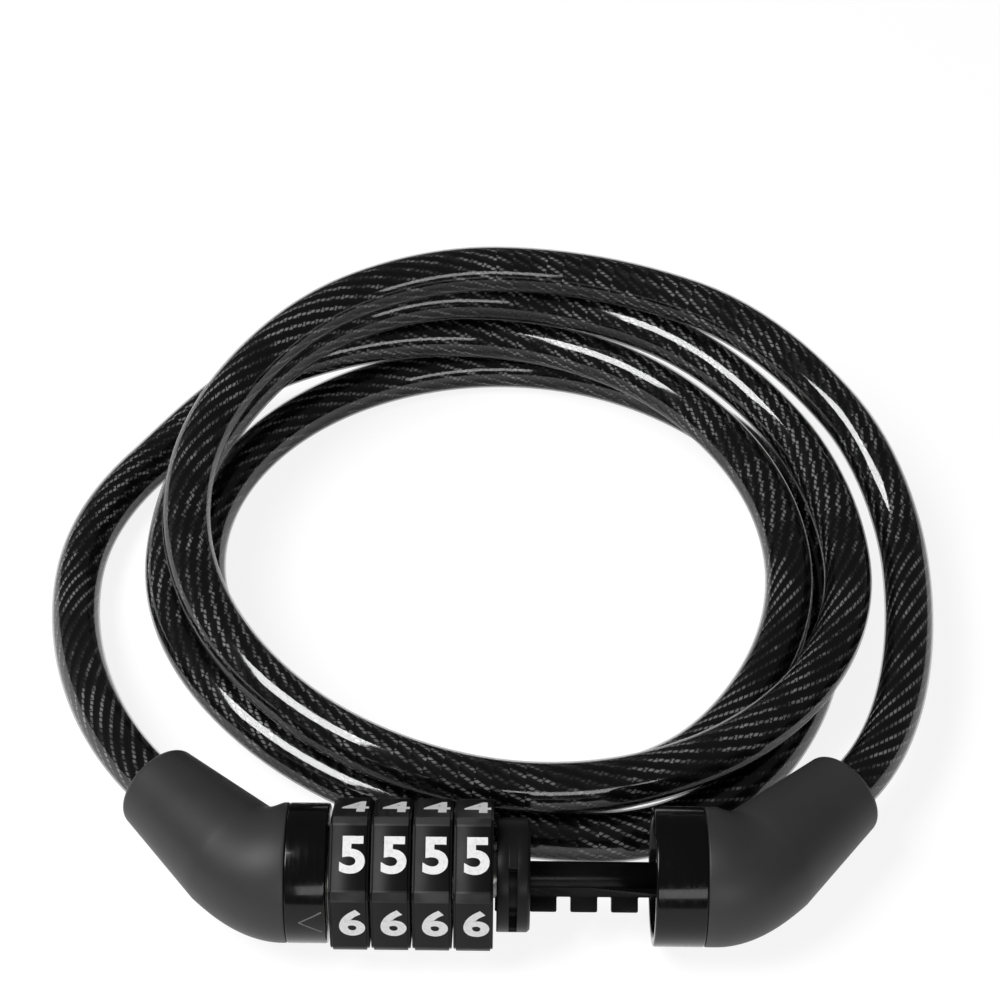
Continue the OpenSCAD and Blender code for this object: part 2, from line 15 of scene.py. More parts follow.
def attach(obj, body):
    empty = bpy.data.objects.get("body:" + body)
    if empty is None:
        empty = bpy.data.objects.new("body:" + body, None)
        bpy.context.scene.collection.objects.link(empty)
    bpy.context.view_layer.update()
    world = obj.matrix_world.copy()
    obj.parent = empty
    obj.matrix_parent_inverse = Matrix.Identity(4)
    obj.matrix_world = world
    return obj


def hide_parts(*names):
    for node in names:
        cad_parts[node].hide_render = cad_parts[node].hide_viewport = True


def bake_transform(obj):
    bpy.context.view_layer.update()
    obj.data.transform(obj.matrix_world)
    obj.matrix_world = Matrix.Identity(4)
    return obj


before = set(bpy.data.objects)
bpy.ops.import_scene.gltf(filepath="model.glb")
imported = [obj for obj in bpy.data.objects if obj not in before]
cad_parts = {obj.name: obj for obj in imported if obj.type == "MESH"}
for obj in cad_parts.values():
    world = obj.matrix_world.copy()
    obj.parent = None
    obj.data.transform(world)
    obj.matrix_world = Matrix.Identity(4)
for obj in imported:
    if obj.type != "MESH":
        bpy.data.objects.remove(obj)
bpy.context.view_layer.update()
MM = 0.001
print("nodes", len(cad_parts))
bpy.context.scene.view_settings.view_transform = "Standard"

# %% [markdown]
# ## Camera
#
# The lock is seen from the front and from 45 degrees above, through a long lens. A camera matrix could
# be found by eye, but it is clearer to build it from three named directions: to the right, up in the
# picture, and back towards the viewer. A small roll is added by turning right and up together.

# %% Camera
camera_place = np.array([-0.7, -287.4, 394.1]) * MM
tilt, roll = math.radians(45), math.radians(0.6)
level_right = np.array([1.0, 0, 0])
level_up = np.array([0, math.sin(tilt), math.cos(tilt)])
backward = np.array([0, -math.cos(tilt), math.sin(tilt)])
right = math.cos(roll) * level_right + math.sin(roll) * level_up
up = -math.sin(roll) * level_right + math.cos(roll) * level_up

SENSOR_W, FOCAL_LENGTH = 36, 90  # millimetres
lens = bpy.data.cameras.new("camera")
lens.sensor_width = SENSOR_W
lens.lens = FOCAL_LENGTH
camera = bpy.data.objects.new("camera", lens)
turn = np.eye(4)
turn[:3, 0], turn[:3, 1], turn[:3, 2], turn[:3, 3] = right, up, backward, camera_place
camera.matrix_world = Matrix(turn.tolist())
bpy.context.scene.collection.objects.link(camera)
bpy.context.scene.camera = camera
print("camera at", np.round(camera_place, 3).tolist(), "lens", lens.lens)

# %% [markdown]
# ## Surfaces from grids
#
# Every new surface is a grid of points: rows run along the piece and columns run round it. One
# function turns such an array into a mesh. It wraps the columns, closes each end with one point at
# the row's middle, and writes a UV map whose first number goes once round and whose second is given
# for each row. Working on whole arrays keeps the formulas readable.


# %% Grid to mesh
def add_object(name, vertices, polygons, smooth=True):
    """A mesh object at the origin from an array of points and a list of polygons."""
    mesh = bpy.data.meshes.new(name)
    mesh.from_pydata(np.asarray(vertices, float), [], polygons)
    mesh.polygons.foreach_set("use_smooth", [smooth] * len(mesh.polygons))
    mesh.update()
    obj = bpy.data.objects.new(name, mesh)
    bpy.context.scene.collection.objects.link(obj)
    return obj


def grid_faces(rows, columns, flip=False):
    """Four-sided faces between neighbouring rows, where the columns wrap round."""
    r, c = np.meshgrid(np.arange(rows - 1), np.arange(columns), indexing="ij")
    n = (c + 1) % columns
    faces = np.stack([r * columns + c, r * columns + n, (r + 1) * columns + n, (r + 1) * columns + c], -1)
    faces = faces.reshape(-1, 4)
    return faces[:, ::-1] if flip else faces


def tube(name, points, along=None, joined=False, flip=False):
    """A surface from points[row, column, xyz]. Its ends are closed with fans to each end row's middle
    point, or the last row joins the first: its faces run on to one more row, whose corner numbers
    start again from the first."""
    rows, columns, _ = points.shape
    vertices, fans = points.reshape(-1, 3), []
    if joined:
        quads = (grid_faces(rows + 1, columns, flip) % (rows * columns)).tolist()
    else:
        quads = grid_faces(rows, columns, flip).tolist()
        ends = np.stack([points[0].mean(0), points[-1].mean(0)])
        vertices = np.concatenate([vertices, ends])
        c = np.arange(columns)
        n = (c + 1) % columns
        first = np.stack([n, c, np.full(columns, rows * columns)], -1)
        last = np.stack([c, n, np.full(columns, rows * columns + 1)], -1)
        last[:, :2] += (rows - 1) * columns
        if flip:
            first, last = first[:, ::-1], last[:, ::-1]
        fans = first.tolist() + last.tolist()
    obj = add_object(name, vertices, quads + fans)
    if along is not None:
        r, c = np.meshgrid(np.arange(rows - 1), np.arange(columns), indexing="ij")
        corner_u = np.stack([c, c + 1, c + 1, c], -1).reshape(-1) / columns
        corner_v = np.stack([along[r], along[r], along[r + 1], along[r + 1]], -1).reshape(-1)
        uv = np.stack([corner_u, corner_v], -1)
        cap = np.zeros((len(fans) * 3, 2))
        layer = obj.data.uv_layers.new(name="UVMap")
        layer.data.foreach_set("uv", np.concatenate([uv, cap]).astype(np.float32).ravel())
    return obj


print("grid of 3 rows and 4 columns has", len(grid_faces(3, 4)), "faces")

# %% [markdown]
# ## The cable's route
#
# The cable is one fixed length that leaves the left elbow, goes round nearly four times and enters the
# right elbow. Its coil is a chain of quarter ellipses between the places where each turn is furthest
# left, back, right and front. The height goes through three given values on each quarter as a smooth
# cubic that never overshoots. Each lead from a mouth to the coil is a cubic curve.

# %% Route of the cable
CABLE_D, ROPE_D = 10.0, 9.3
AXIS = np.array([0.0, -6.49759, 14.2063])  # the lock's axis runs along X through this point
LEFT_BEND, RIGHT_BEND = -46.01, 46.01  # x of the elbows' bends
ARM_ANGLE, ARM_L = math.radians(45), 29.0
LEAD_PULL, LIFT = 20.0, 0.02

# Each row is one turning point: its x and y, its height over the floor, and the heights at one third
# and two thirds of the way to the next.
turning_points = np.array([
    [-90, 76, 1, 0.5, 9], [-12, 144, 11, 11.2, 9.8], [60, 74, 8.5, 5.5, 1], [12, 20.8, 0, 0, 0],
    [-64.5, 85.5, 0, 0, 0], [0, 145.8, 0, 0, 0], [68, 77, 0, 0, 0], [19, 9.5, 0, 2, 6],
    [-70, 76, 9, 14, 20], [-8, 144.5, 22, 21, 15.5], [72, 73.5, 10.4, 10.5, 10],
    [8, 13.3, 10.3, 12.8, 16.6], [-66, 82, 20, 25, 30.6], [-2, 141.8, 32.5, 30.6, 20.5],
    [84.5, 76, 9, 0, 0],
])


def arm_point(side, bend, t):
    """A point on an elbow's arm, t from the bend: out and back at half a right angle."""
    t = np.atleast_1d(t)[:, None]
    outwards = np.array([side * math.cos(ARM_ANGLE), math.sin(ARM_ANGLE), 0])
    return np.array([bend, AXIS[1], AXIS[2]]) + t * outwards


def coil_heights(u):
    """Height at u legs from the start: between thirds of a leg, a cubic whose slope at each third is
    the harmonic mean of the steps before and after it, or level where they differ in sign."""
    knots = np.append(turning_points[:-1, 2:].ravel(), turning_points[-1, 2])
    step = np.diff(knots, prepend=knots[0], append=knots[-1])
    before, after = step[:-1], step[1:]
    same = before * after > 0
    slope = np.where(same, 2 * before * after / np.where(same, before + after, 1), 0)
    k = np.minimum((3 * u).astype(int), len(knots) - 2)
    v = 3 * u - k
    w = 1 - v
    return (knots[k] * (1 + 2 * v) * w * w + knots[k + 1] * v * v * (1 + 2 * w)
            + slope[k] * v * w * w - slope[k + 1] * v * v * w)


def coil_line(per_leg):
    """Quarter ellipses: on even legs x follows the cosine and y the sine, and on odd legs the reverse."""
    u = np.arange((len(turning_points) - 1) * per_leg + 1) / per_leg
    leg = np.minimum(u.astype(int), len(turning_points) - 2)
    a = (u - leg) * math.pi / 2
    p, q = turning_points[leg], turning_points[leg + 1]
    rising, falling = np.sin(a), 1 - np.cos(a)
    even = leg % 2 == 0
    x = p[:, 0] + (q[:, 0] - p[:, 0]) * np.where(even, falling, rising)
    y = p[:, 1] + (q[:, 1] - p[:, 1]) * np.where(even, rising, falling)
    return np.stack([x, y, CABLE_D / 2 + LIFT + coil_heights(u)], -1)


def lead_line(side, bend, end, n):
    """A cubic from the mouth, pulled straight out of it and straight along Y into the coil."""
    p = arm_point(side, bend, ARM_L)[0]
    ph = arm_point(side, bend, ARM_L + LEAD_PULL)[0]
    qh = end - np.array([0, LEAD_PULL, 0])
    u = np.arange(n)[:, None] / n
    return (1 - u) ** 3 * p + 3 * (1 - u) ** 2 * u * ph + 3 * (1 - u) * u**2 * qh + u**3 * end


def free_line(per_leg=36, per_lead=28):
    """The free cable, mouth to mouth."""
    coil = coil_line(per_leg)
    left = lead_line(-1, LEFT_BEND, coil[0], per_lead)
    last = lead_line(1, RIGHT_BEND, coil[-1], per_lead)
    return np.concatenate([left, coil, last[::-1]])


def length_of(line):
    """The sum of the steps between neighbouring points."""
    return float(np.linalg.norm(np.diff(line, axis=0), axis=1).sum())


free_route = free_line()
print("cable from mouth to mouth, mm", round(length_of(free_route), 1), "rings", len(free_route))

# %% [markdown]
# ## Jacket and rope
#
# The cable is a smoky clear vinyl jacket over a laid steel rope. The rope could be modelled strand by
# strand, but its rows are finer than a millimetre, so it is one tube whose material draws the lay from
# the UV map. The clear jacket magnifies the rope, so the rope is made nearly as thick as the jacket.
# Both tubes share one route and one way of standing the rings: sideways is level, up is across it.


# %% Sweep rings along a line
def sweep(line, radius, columns):
    """Rings of points round a line: at each point, radius * (cosine * sideways + sine * upwards), where
    sideways is level and across the line's direction, and upwards is across both."""
    heading = np.gradient(line, axis=0)
    heading /= np.linalg.norm(heading, axis=1, keepdims=True)
    sideways = np.stack([heading[:, 1], -heading[:, 0], np.zeros(len(line))], -1)
    sideways /= np.linalg.norm(sideways, axis=1, keepdims=True)
    upwards = np.cross(sideways, heading)
    a = np.arange(columns) * 2 * math.pi / columns
    ring = np.cos(a)[None, :, None] * sideways[:, None] + np.sin(a)[None, :, None] * upwards[:, None]
    return line[:, None] + radius * ring


def cable_tube(name, start, diameter, columns):
    """The free route with its two straight ends inside the elbows, as a tube of one diameter."""
    t = np.linspace(start, ARM_L, 8)[:-1]
    line = np.concatenate([arm_point(-1, LEFT_BEND, t), free_route, arm_point(1, RIGHT_BEND, t[::-1])])
    along = np.concatenate([[0], np.cumsum(np.linalg.norm(np.diff(line, axis=0), axis=1))])
    obj = tube(name, sweep(line, diameter / 2, columns) * MM, along=along * MM, flip=True)
    return obj, line * MM


JACKET_START, ROPE_START = 17.2, 7.0  # how far from the bend each begins, inside the elbow
jacket, jacket_line = cable_tube("cable_jacket_skin", JACKET_START, CABLE_D, columns=40)
rope, _ = cable_tube("laid_rope", ROPE_START, ROPE_D, columns=28)
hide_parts("cable_jacket", "left_lead", "right_lead")
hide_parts("steel_rope")
for piece in (jacket, rope):
    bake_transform(piece)
print("jacket polygons", len(jacket.data.polygons), "rope polygons", len(rope.data.polygons))

# %% [markdown]
# ## Shader maths
#
# A material is easier to read as an expression than as a list of links. This small class wraps a
# socket, so that 1 - mask or mask * 0.3 adds the Math node for it. Any other node comes from one
# method, which takes the node's type, its settings, and the values or links of its sockets.


# %% Sockets as values
class Value:
    """A socket whose + - * and ** add Math nodes to its material."""

    def __init__(self, finish, socket):
        self.finish, self.socket = finish, socket

    def __add__(self, other):
        return self.finish.math("ADD", self, other)

    def __sub__(self, other):
        return self.finish.math("SUBTRACT", self, other)

    def __rsub__(self, other):
        return self.finish.math("SUBTRACT", other, self)

    def __mul__(self, other):
        return self.finish.math("MULTIPLY", self, other)

    def __pow__(self, other):
        return self.finish.math("POWER", self, other)

    __radd__ = __add__
    __rmul__ = __mul__


class Finish:
    """A material and its nodes. Numbers that are the same all over go straight onto the shader."""

    def __init__(self, name, **same_all_over):
        self.material = bpy.data.materials.new(name)
        self.material.use_nodes = True
        self.tree = self.material.node_tree
        self.shader = self.tree.nodes["Principled BSDF"]
        for socket, value in same_all_over.items():
            self.shader.inputs[socket.replace("_", " ")].default_value = value

    def node(self, kind, settings=(), inputs=(), output=0):
        """A new node: its settings first, then each socket's value or link. Gives one output."""
        n = self.tree.nodes.new(kind)
        for key, value in dict(settings).items():
            setattr(n, key, value)
        for key, value in dict(inputs).items():
            if isinstance(value, Value):
                self.tree.links.new(value.socket, n.inputs[key])
            else:
                n.inputs[key].default_value = value
        return Value(self, n.outputs[output])

    def math(self, operation, a, b=0.0):
        """One Math node."""
        return self.node("ShaderNodeMath", {"operation": operation}, {0: a, 1: b})

    def place(self):
        """Position on the piece, in metres."""
        return self.node("ShaderNodeTexCoord", output="Object")

    def split(self, vector):
        """The three parts of a vector."""
        n = self.node("ShaderNodeSeparateXYZ", inputs={0: vector})
        return [Value(self, s) for s in n.socket.node.outputs]

    def noise(self, where, scale, detail=2.0, rough=0.5):
        """Soft noise from 0 to 1; scale is cells per metre."""
        return self.node("ShaderNodeTexNoise", inputs={
            "Vector": where, "Scale": scale, "Detail": detail, "Roughness": rough})

    def stretched(self, where, scale):
        """Position with each axis scaled on its own."""
        return self.node("ShaderNodeMapping", inputs={"Vector": where, "Scale": scale})

    def ramp(self, value, low, high, out_low=0.0, out_high=1.0):
        """A smooth step from out_low at low to out_high at high."""
        return self.node("ShaderNodeMapRange", {"interpolation_type": "SMOOTHSTEP"}, {
            "Value": value, "From Min": low, "From Max": high, "To Min": out_low, "To Max": out_high})

    def mix(self, mask, a, b):
        """Colour a where the mask is 0 and b where it is 1; grey levels may be given as numbers."""
        a, b = [(v, v, v, 1.0) if isinstance(v, (int, float)) else v for v in (a, b)]
        return self.node("ShaderNodeMix", {"data_type": "RGBA"}, {0: mask, 6: a, 7: b}, output=2)

    def set(self, socket, value):
        """Links a value to one of the shader's sockets."""
        self.tree.links.new(value.socket, self.shader.inputs[socket])

    def bump(self, height, distance, strength):
        """Tilts the surface as if it stood out by height * distance, in metres."""
        self.set("Normal", self.node("ShaderNodeBump", inputs={
            "Height": height, "Distance": distance, "Strength": strength}))


# %% [markdown]
# ## Finishes of the cable
#
# The jacket is glossy vinyl. A volume with refraction would be exact, but it is slow and few other
# programs take it, so the skin is partly transparent instead: dark, shiny, and clear enough to show the
# rope. The rope's rows come from the UV map. One phase counts the strands, which turn one way round
# the rope; a second counts the wires, which turn the other way a little more slowly. Where a wire
# crosses the crest of a strand, a short light dash is painted into the colour, a painted glint in place
# of the light the wire would catch, and the grooves between the strands are painted darker as painted
# shade. The jacket is polished on top and rubbed dull on the sides and the underside. The UV map tells
# these apart: going round, its first number is a quarter at the top.

# %% Jacket and rope materials
LAY, STRANDS = 0.058, 12  # metres along the rope in which a strand goes once round it
WIRES, WIRE_LAY = 30, -0.9  # a wire's turns for each turn of a strand
GLOSS_TOP, GLOSS_SIDE = 1.0, 0.1

vinyl = Finish("smoky_vinyl", Alpha=0.52, IOR=1.5, Specular_IOR_Level=0.15, Coat_Roughness=0.08,
               Coat_IOR=1.9)
spot = vinyl.place()
haze = vinyl.noise(spot, 90, 3)
vinyl.set("Base Color", vinyl.mix(haze, 0.002, 0.006))
vinyl.set("Roughness", vinyl.ramp(haze, 0.3, 0.8, 0.05, 0.12))
round_u, _, _ = vinyl.split(vinyl.node("ShaderNodeUVMap", {"uv_map": "UVMap"}))
from_top = vinyl.math("ABSOLUTE", vinyl.math("FRACT", round_u + 0.25) - 0.5)
vinyl.set("Coat Weight", vinyl.ramp(from_top, 0.19, 0.27, GLOSS_TOP, GLOSS_SIDE))

laid = Finish("laid_steel", IOR=1.5, Specular_IOR_Level=0.12)
round_u, along_v, _ = laid.split(laid.node("ShaderNodeUVMap", {"uv_map": "UVMap"}))
turns = along_v * (1 / LAY)
strand = laid.math("FRACT", (round_u - turns) * STRANDS)
wire = laid.math("FRACT", (round_u - turns * WIRE_LAY) * WIRES)
strand_edge = laid.math("ABSOLUTE", strand - 0.5)
wire_edge = laid.math("ABSOLUTE", wire - 0.5)
crest = laid.ramp(strand_edge, 0.2, 0.06)
# Painted glint: a light dash in the colour where a wire crosses a strand's crest.
painted_glint = crest * laid.ramp(wire_edge, 0.42, 0.26)
uneven = laid.noise(laid.place(), 110, 3, 0.65)
lit = laid.ramp(uneven, 0.4, 0.62, 0.06, 1.0)
# Painted shade: the colour is darker in the grooves between the strands than on their crests.
painted_groove_shade = laid.mix(laid.ramp(strand_edge, 0.5, 0.2), 0.001, 0.006)
laid.set("Base Color", laid.mix(painted_glint * lit, painted_groove_shade, 0.85))
laid.set("Roughness", laid.ramp(uneven, 0.3, 0.7, 0.35, 0.55))
laid.bump(laid.ramp(strand_edge, 0.5, 0.0), 0.0003, 0.8)

jacket.data.materials.append(vinyl.material)
rope.data.materials.append(laid.material)
print("strands show every", round(LAY / STRANDS * 1000, 2), "mm along the cable")

# %% [markdown]
# ## Finishes of the head
#
# The elbows have a soft rubbery coat, the collar and the cup ring are polished, and the dials and
# the nose are satin. All are nearly black, so what tells them apart is roughness and grain. Each
# finish gets a fine bump for its grain and a slow noise that varies its gloss, and the dials' corner
# edges are painted a little lighter as a painted highlight.

# %% Head materials
soft = Finish("soft_touch_coat", IOR=1.45, Specular_IOR_Level=0.4)
spot = soft.place()
grain, cloud = soft.noise(spot, 3200, 2), soft.noise(spot, 70, 3)
soft.set("Base Color", soft.mix(cloud, 0.03, 0.042))
soft.set("Roughness", soft.ramp(cloud, 0.3, 0.7, 0.42, 0.5) + grain * 0.04)
soft.bump(grain, 0.00003, 0.35)

gloss = Finish("polished_black", IOR=1.5, Specular_IOR_Level=0.2, Coat_Weight=0.15, Coat_Roughness=0.05)
spot = gloss.place()
wipe = gloss.noise(gloss.stretched(spot, (1.0, 0.25, 0.25)), 1400, 3)
gloss.set("Base Color", gloss.mix(gloss.noise(spot, 60, 2), 0.002, 0.005))
gloss.set("Roughness", gloss.ramp(wipe, 0.3, 0.8, 0.12, 0.24))


def satin(name, low, high, rough, edge_from=None, edge_to=None, highlight_level=0.1):
    """A satin black plastic; past edge_from metres from the lock's axis it gets a painted highlight."""
    f = Finish(name, IOR=1.48, Specular_IOR_Level=0.15)
    spot = f.place()
    grain, cloud = f.noise(spot, 2600, 2), f.noise(spot, 110, 3)
    colour = f.mix(cloud, low, high)
    if edge_from is not None:
        _, y, z = f.split(spot)
        y, z = y - AXIS[1] * MM, z - AXIS[2] * MM
        far = (y * y + z * z) ** 0.5
        # Painted highlight: lighter towards the dials' corner edges, unevenly.
        painted_edge_highlight = f.ramp(far, edge_from, edge_to) * f.ramp(cloud, 0.35, 0.6, 0.4, 1.0)
        colour = f.mix(painted_edge_highlight, colour, highlight_level)
    f.set("Base Color", colour)
    f.set("Roughness", f.ramp(cloud, 0.3, 0.7, rough - 0.03, rough + 0.05) + grain * 0.04)
    f.bump(grain, 0.00002, 0.3)
    return f


# The dials' painted highlight starts here, just inside their corner edges.
HIGHLIGHT_FROM, HIGHLIGHT_TO = 0.01402, 0.0141  # just inside the dials' corners, which lie 0.0142 from the axis
dial_black = satin("dial_satin", 0.006, 0.01, 0.4, HIGHLIGHT_FROM, HIGHLIGHT_TO, 0.05)
satin_black = satin("nose_satin", 0.006, 0.012, 0.34)
blued = satin("blued_steel", 0.002, 0.005, 0.26)

digit_paint = Finish("digit_paint", IOR=1.45)
speck = digit_paint.noise(digit_paint.place(), 1500, 3)
digit_paint.set("Base Color", digit_paint.mix(digit_paint.ramp(speck, 0.25, 0.6), 0.74, 0.86))
digit_paint.set("Roughness", digit_paint.ramp(speck, 0.3, 0.7, 0.4, 0.5))


def metal(name, dark, light, rough):
    """A bare metal with fine turning marks round the lock's axis, so the noise is finest along X."""
    f = Finish(name, Metallic=1.0)
    marks = f.noise(f.stretched(f.place(), (8.0, 1.0, 1.0)), 900, 4, 0.7)
    f.set("Base Color", f.mix(marks, dark, light))
    f.set("Roughness", f.ramp(marks, 0.3, 0.7, rough, rough + 0.15))
    f.bump(marks, 0.00001, 0.3)
    return f


steel = metal("plain_steel", (0.42, 0.43, 0.44, 1), (0.6, 0.61, 0.62, 1), 0.26)
spring = metal("spring_steel", (0.2, 0.2, 0.19, 1), (0.32, 0.31, 0.3, 1), 0.3)
brass = metal("turned_brass", (0.6, 0.45, 0.2, 1), (0.78, 0.62, 0.32, 1), 0.28)

for node, finish in {
    "lock_core": steel, "left_ferrule": steel, "right_ferrule": steel, "plug_bush": blued,
    "tail_pins": spring, "thrust_washer": spring, "detent_strip": spring, "retaining_clip": spring,
    "pin_rivet": spring, "code_wheel_1": brass, "code_wheel_2": brass, "code_wheel_3": brass,
    "code_wheel_4": brass,
}.items():
    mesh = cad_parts[node].data
    mesh.materials.clear()
    mesh.materials.append(finish.material)
print("materials", len(bpy.data.materials))

# %% [markdown]
# ## Turned parts
#
# The collar, the cup ring and the nose are turned about the lock's axis. Each is one closed profile of
# (x, radius) points carried round the axis. Sharp corners never catch the light, so every outside
# corner of a profile is first cut by a short arc.


# %% Profiles and turning
def rounded(corners, radius, arc=4):
    """A closed outline with each corner rounded: a curve from radius before the corner to radius
    after it, (1-t)^2 * before + 2t(1-t) * corner + t^2 * after. Radius may differ by corner."""
    p = np.asarray(corners, float)
    radius = np.broadcast_to(radius, len(p))[:, None]
    before, after = np.roll(p, 1, 0) - p, np.roll(p, -1, 0) - p
    before /= np.linalg.norm(before, axis=1, keepdims=True)
    after /= np.linalg.norm(after, axis=1, keepdims=True)
    a, b = (p + before * radius)[:, None], (p + after * radius)[:, None]
    t = np.linspace(0, 1, arc + 1)[None, :, None]
    return ((1 - t) ** 2 * a + 2 * t * (1 - t) * p[:, None] + t**2 * b).reshape(-1, 2)


def turned(name, outline, columns=128):
    """Carries a closed (x, radius) outline round the lock's axis."""
    a = np.arange(columns) * 2 * math.pi / columns
    x, r = outline[:, 0][:, None], outline[:, 1][:, None]
    points = np.stack([x + 0 * a, AXIS[1] - r * np.cos(a), AXIS[2] + r * np.sin(a)], -1)
    return tube(name, points * MM, joined=True)


def finish_piece(obj, body, slot, material, *nodes):
    """Puts a piece on its body, in place of its nodes, with its material."""
    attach(obj, body)
    if nodes:
        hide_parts(*nodes)
    obj.data.materials.append(material.material)


HEAD_R = 13.0
SEAM = 0.05  # between the rings and the elbows
SHOULDER, COLLAR_W = -39.41, 7.6
COLLAR_HOLE, COLLAR_BORE, COLLAR_WEB = 4.75, 10.2, 1.5
CUP_X, CUP_W, CUP_BORE, CUP_FLOOR, CUP_HOLE = 28.51, 9.6, 11.3, 36.51, 7.0

collar_front, web = SHOULDER + COLLAR_W, SHOULDER + COLLAR_W - COLLAR_WEB
collar = turned("rear_collar_ring", rounded(
    [(SHOULDER + SEAM, HEAD_R), (collar_front, HEAD_R), (collar_front, COLLAR_HOLE), (web, COLLAR_HOLE),
     (web, COLLAR_BORE), (SHOULDER + SEAM, COLLAR_BORE)],
    [0.35, 0.45, 0.1, 0.1, 0.1, 0.1]))
finish_piece(collar, "lock_body", "gloss_black", gloss, "rear_collar")
cup = turned("cup_ring_shell", rounded(
    [(CUP_X, HEAD_R), (CUP_X + CUP_W - SEAM, HEAD_R), (CUP_X + CUP_W - SEAM, CUP_HOLE),
     (CUP_FLOOR, CUP_HOLE), (CUP_FLOOR, CUP_BORE), (CUP_X, CUP_BORE)],
    [0.5, 0.35, 0.1, 0.1, 0.3, 0.45]))
finish_piece(cup, "plug", "gloss_black", gloss, "cup_ring")
print("collar and cup polygons", len(collar.data.polygons), len(cup.data.polygons))

# %% [markdown]
# ## Elbows
#
# Each elbow is a soft-touch body that starts as round as the collar, bends by 45 degrees and tapers to
# the cable. A ring is carried along the middle line: straight, round an arc and out along the arm.
# The arc's middle lies just past the inner side, so the rings fan out from it and never cross.

# %% Elbow surface
BEND_R, ROOT_R, MOUTH_R, MOUTH_ROUND = 13.9, 11.2, 8.7, 1.6
BORE_R, BORE_DEPTH = 5.25, 6.0
EDGE_ROUND, LIP_ROUND = 0.35, 0.4  # at the collar and at the bore
LEFT_STRAIGHT, RIGHT_STRAIGHT = 6.6, 7.9  # from the collar or the cup ring to the bend


def elbow_rings(straight):
    """(distance along the middle line, radius) of the elbow's rings: full at the collar, easing to
    the arm's root through the bend, tapering straight to the mouth, round its edge and into the bore."""
    bend_l = BEND_R * ARM_ANGLE
    tangent = BEND_R * math.tan(ARM_ANGLE / 2)
    flat = straight - tangent
    arm = ARM_L - tangent
    mouth = flat + bend_l + arm
    t = np.linspace(0, 1, 25)
    ease = t * t * (3 - 2 * t)
    taper = np.linspace(0, 1, 13)[1:]
    edge = np.linspace(0, math.pi / 2, 9)[1:]
    lip = np.linspace(0, math.pi / 2, 5)
    rings = np.concatenate([
        np.stack([EDGE_ROUND * (1 - np.cos(lip)), HEAD_R - EDGE_ROUND * (1 - np.sin(lip))], -1),
        np.stack([np.maximum(flat, 0.4) + bend_l * t, HEAD_R + (ROOT_R - HEAD_R) * ease], -1),
        np.stack([flat + bend_l + (arm - MOUTH_ROUND) * taper, ROOT_R + (MOUTH_R - ROOT_R) * taper], -1),
        np.stack([mouth - MOUTH_ROUND * (1 - np.sin(edge)), MOUTH_R - MOUTH_ROUND * (1 - np.cos(edge))], -1),
        np.stack([mouth - LIP_ROUND * (1 - np.cos(lip)), BORE_R + LIP_ROUND * (1 - np.sin(lip))], -1)[1:],
        [[mouth - BORE_DEPTH, BORE_R]],
    ])
    return rings, flat, bend_l


def elbow(name, side, bend, straight, columns=128):
    """Rings across a middle line that runs straight, turns by an arc and runs straight again. The
    heading's angle is the arc's length so far over its radius, kept between 0 and 45 degrees."""
    rings, flat, bend_l = elbow_rings(straight)
    s, r = rings[:, 0], rings[:, 1]
    angle = np.clip((s - flat) / BEND_R, 0, ARM_ANGLE)
    past = np.maximum(s - flat - bend_l, 0)
    before = np.minimum(s, flat)
    out = before + BEND_R * np.sin(angle) + past * math.cos(ARM_ANGLE)
    back = BEND_R * (1 - np.cos(angle)) + past * math.sin(ARM_ANGLE)
    middle = np.stack([bend + side * (out - straight), AXIS[1] + back, AXIS[2] + 0 * out], -1)
    across = np.stack([-side * np.sin(angle), np.cos(angle), 0 * angle], -1)
    a = np.arange(columns) * 2 * math.pi / columns
    ring = np.cos(a)[None, :, None] * across[:, None] + np.sin(a)[None, :, None] * np.array([0, 0, 1.0])
    points = middle[:, None] + r[:, None, None] * ring
    return tube(name, points * MM, flip=side < 0)


left_elbow = elbow("left_elbow_body", -1, LEFT_BEND, LEFT_STRAIGHT)
right_elbow = elbow("right_elbow_body", 1, RIGHT_BEND, RIGHT_STRAIGHT)
finish_piece(left_elbow, "lock_body", "soft_touch", soft, "left_elbow")
finish_piece(right_elbow, "plug", "soft_touch", soft, "right_elbow")
print("elbow polygons", len(left_elbow.data.polygons))

# %% [markdown]
# ## Number dials
#
# A dial is a hexagon with its corners cut off and a small step along each rim. The outline comes
# from its twelve sides: each is a line at a distance from the axis, and each corner is an arc
# about the place where two neighbouring lines, moved in by the arc's radius, meet.

# %% Dial surface
DIALS, DIAL_X0, PITCH, DIAL_W = 4, -31.21, 7.58, 7.3
FACE_R, CORNER_R, FACE_ANGLE = 12.7, 14.2, 66.0
DIAL_BORE_R, SIDE_ROUND = 8.9, 0.25


def hexagon(face_r, corner_r, angle, radius, arc=5):
    """Outline round the axis as (front to back, up) pairs, from the twelve lines n.p = distance,
    each next pair solved for its meeting point, plus radius times the normals in between."""
    normal_at = np.radians(angle + 30 * np.arange(12))
    distance = np.where(np.arange(12) % 2 == 0, face_r, corner_r) - radius
    n = np.stack([-np.cos(normal_at), np.sin(normal_at)], -1)
    m, d2 = np.roll(n, -1, 0), np.roll(distance, -1)
    cross = n[:, 0] * m[:, 1] - n[:, 1] * m[:, 0]
    meet = np.stack([distance * m[:, 1] - d2 * n[:, 1], n[:, 0] * d2 - m[:, 0] * distance], -1)
    meet = meet / cross[:, None]
    t = normal_at[:, None] + np.radians(30) * np.linspace(0, 1, arc)[None, :]
    return (meet[:, None] + radius * np.stack([-np.cos(t), np.sin(t)], -1)).reshape(-1, 2)


